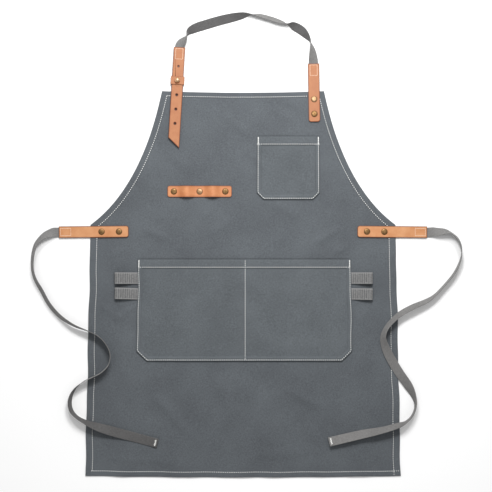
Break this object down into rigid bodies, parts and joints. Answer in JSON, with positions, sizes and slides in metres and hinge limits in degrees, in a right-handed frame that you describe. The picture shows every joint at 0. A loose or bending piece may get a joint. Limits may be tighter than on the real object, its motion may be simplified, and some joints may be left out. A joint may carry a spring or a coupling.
{
  "type": "work apron",
  "caption": "Canvas work apron laid flat, with a bib pocket, a divided lower pocket, webbing tool loops, leather tabs, waist ties and an adjustable neck loop.",
  "frame": {"origin": "on the centre line at the height of the waist tabs, on the apron's underside where it rests", "axes": "+X to the right of the apron seen from its front, +Y up the apron towards the neck, +Z out of its front"},
  "size_m": [0.9052, 0.9713, 0.023],
  "materials": {
    "canvas": "slate grey cotton canvas, plain weave, washed",
    "webbing": "grey cotton webbing, ribbed, matt",
    "thread": "off-white polyester topstitching thread",
    "leather": "natural tan vegetable-tanned leather, burnished edges, satin",
    "brass": "antique brass, satin"
  },
  "bodies": {
    "apron": {"body_panel": "canvas", "body_topstitch": "thread", "bib_pocket": "canvas", "bib_pocket_topstitch": "thread", "lower_pocket": "canvas", "lower_pocket_topstitch": "thread", "left_upper_loop": "webbing", "left_lower_loop": "webbing", "right_upper_loop": "webbing", "right_lower_loop": "webbing", "tool_strap": "leather", "tool_strap_rivet_caps": "brass", "tool_strap_rivet_posts": "brass", "neck_tab": "leather", "neck_tab_rivet_caps": "brass", "neck_tab_rivet_posts": "brass", "neck_tab_box_stitch": "thread", "left_waist_tab": "leather", "left_waist_rivet_caps": "brass", "left_waist_rivet_posts": "brass", "left_waist_box_stitch": "thread", "right_waist_tab": "leather", "right_waist_rivet_caps": "brass", "right_waist_rivet_posts": "brass", "right_waist_box_stitch": "thread", "anchor_tab": "leather", "anchor_rivet_caps": "brass", "anchor_rivet_posts": "brass", "keeper_loop": "leather", "stud_head": "brass", "stud_screw": "brass", "neck_webbing": "webbing", "left_tie": "webbing", "right_tie": "webbing"},
    "neck_strap": {"adjusting_strap": "leather", "adjusting_strap_box_stitch": "thread"}
  },
  "joints": [
    {"name": "neck_strap_adjust", "type": "slide", "parent": "apron", "child": "neck_strap", "axis": [0.0611, 0.9981, 0], "range_m": [-0.03, 0.09], "deforming": ["adjusting_strap", "neck_webbing"]}
  ]
}
